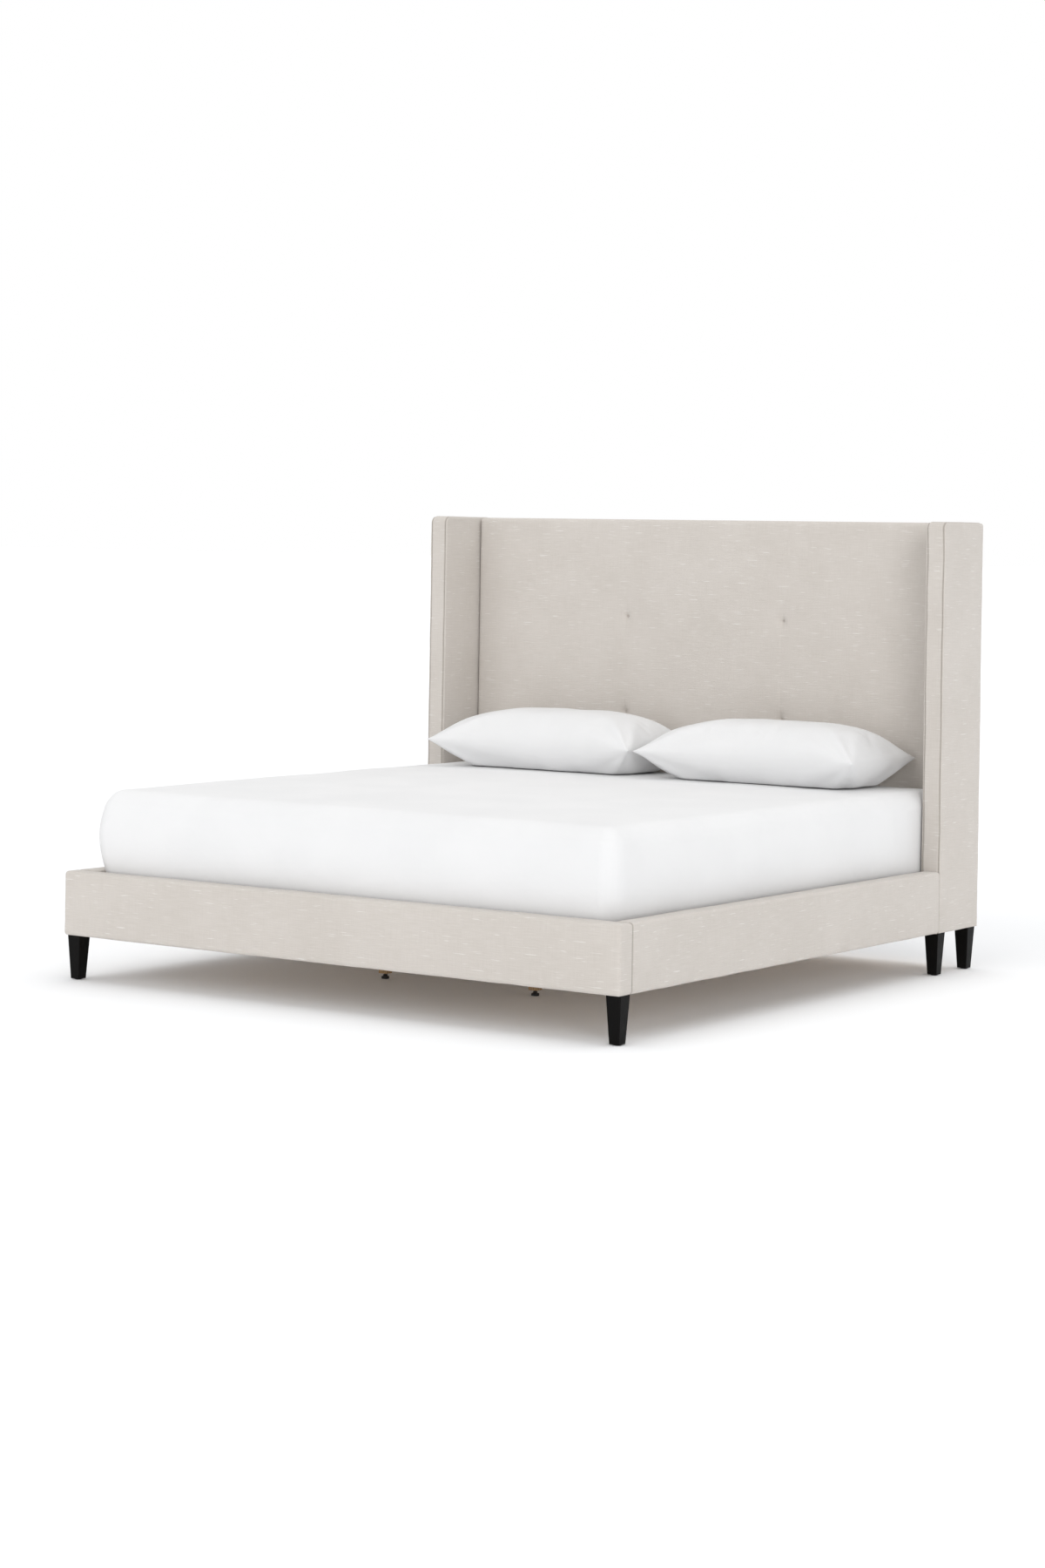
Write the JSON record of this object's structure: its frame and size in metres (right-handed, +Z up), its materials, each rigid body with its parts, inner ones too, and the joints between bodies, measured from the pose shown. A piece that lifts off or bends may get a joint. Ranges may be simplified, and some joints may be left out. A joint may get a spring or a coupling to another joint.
{
  "type": "upholstered headboard bed",
  "caption": "Low platform bed in woven fabric with a tall winged, lightly tufted headboard, tapered dark legs, slatted base, mattress and pillows.",
  "frame": {"origin": "on the floor at the middle of the footprint", "axes": "+Y from the foot to the headboard, +Z up, +X to the right of someone facing the headboard"},
  "size_m": [2.086, 2.194, 1.485],
  "materials": {
    "upholstery": "matte",
    "mattress_fabric": "matte",
    "pillow_cotton": "matte",
    "back_cloth": "matte",
    "tuft_twine": "matte",
    "zinc_steel": "satin",
    "black_nylon": "satin",
    "black_lacquered_wood": "satin",
    "oak": "satin",
    "slat_pine": "matte",
    "plywood": "matte",
    "frame_pine": "matte"
  },
  "bodies": {
    "frame": {"beam_hangers": "zinc_steel", "centre_beam_left": "frame_pine", "centre_beam_right": "frame_pine", "centre_leg_foot_left": "oak", "centre_leg_foot_right": "oak", "centre_leg_head_left": "oak", "centre_leg_head_right": "oak", "foot_rail_core": "frame_pine", "foot_rail_cover": "upholstery", "head_cleat": "frame_pine", "headboard_back_cloth": "back_cloth", "headboard_board": "plywood", "headboard_bottom_rail": "frame_pine", "headboard_pad": "upholstery", "headboard_stile_centre": "frame_pine", "headboard_stile_left": "frame_pine", "headboard_stile_right": "frame_pine", "headboard_top_rail": "frame_pine", "joint_bolts": "zinc_steel", "joint_plates": "zinc_steel", "ledger_left": "frame_pine", "ledger_right": "frame_pine", "leg_bolts": "zinc_steel", "leg_foot_left": "black_lacquered_wood", "leg_foot_right": "black_lacquered_wood", "leg_glides": "black_nylon", "leg_tee_nuts": "zinc_steel", "leg_wing_back_left": "black_lacquered_wood", "leg_wing_back_right": "black_lacquered_wood", "leg_wing_front_left": "black_lacquered_wood", "leg_wing_front_right": "black_lacquered_wood", "side_rail_core_left": "frame_pine", "side_rail_core_right": "frame_pine", "side_rail_cover_left": "upholstery", "side_rail_cover_right": "upholstery", "slat_01": "slat_pine", "slat_02": "slat_pine", "slat_03": "slat_pine", "slat_04": "slat_pine", "slat_05": "slat_pine", "slat_06": "slat_pine", "slat_07": "slat_pine", "slat_08": "slat_pine", "slat_09": "slat_pine", "slat_10": "slat_pine", "slat_11": "slat_pine", "slat_screws": "zinc_steel", "timber_screws": "zinc_steel", "tuft_ties": "tuft_twine", "wing_core_left": "plywood", "wing_core_right": "plywood", "wing_cover_left": "upholstery", "wing_cover_right": "upholstery"},
    "mattress": {"mattress": "mattress_fabric"},
    "pillow_left": {"pillow_left": "pillow_cotton"},
    "pillow_right": {"pillow_right": "pillow_cotton"},
    "leveller_foot_left": {"leveller_foot_left": "black_nylon"},
    "leveller_foot_right": {"leveller_foot_right": "black_nylon"},
    "leveller_head_left": {"leveller_head_left": "black_nylon"},
    "leveller_head_right": {"leveller_head_right": "black_nylon"}
  },
  "joints": [
    {"name": "mattress_lift", "type": "slide", "parent": "frame", "child": "mattress", "axis": [0, 0, 1], "range_m": [0, 1.25]},
    {"name": "pillow_left_lift", "type": "slide", "parent": "mattress", "child": "pillow_left", "axis": [0, 0, 1], "range_m": [0, 0.9]},
    {"name": "pillow_right_lift", "type": "slide", "parent": "mattress", "child": "pillow_right", "axis": [0, 0, 1], "range_m": [0, 0.9]},
    {"name": "leveller_foot_left_screw", "type": "slide", "parent": "frame", "child": "leveller_foot_left", "axis": [0, 0, -1], "range_m": [0, 0.012]},
    {"name": "leveller_foot_right_screw", "type": "slide", "parent": "frame", "child": "leveller_foot_right", "axis": [0, 0, -1], "range_m": [0, 0.012]},
    {"name": "leveller_head_left_screw", "type": "slide", "parent": "frame", "child": "leveller_head_left", "axis": [0, 0, -1], "range_m": [0, 0.012]},
    {"name": "leveller_head_right_screw", "type": "slide", "parent": "frame", "child": "leveller_head_right", "axis": [0, 0, -1], "range_m": [0, 0.012]}
  ]
}
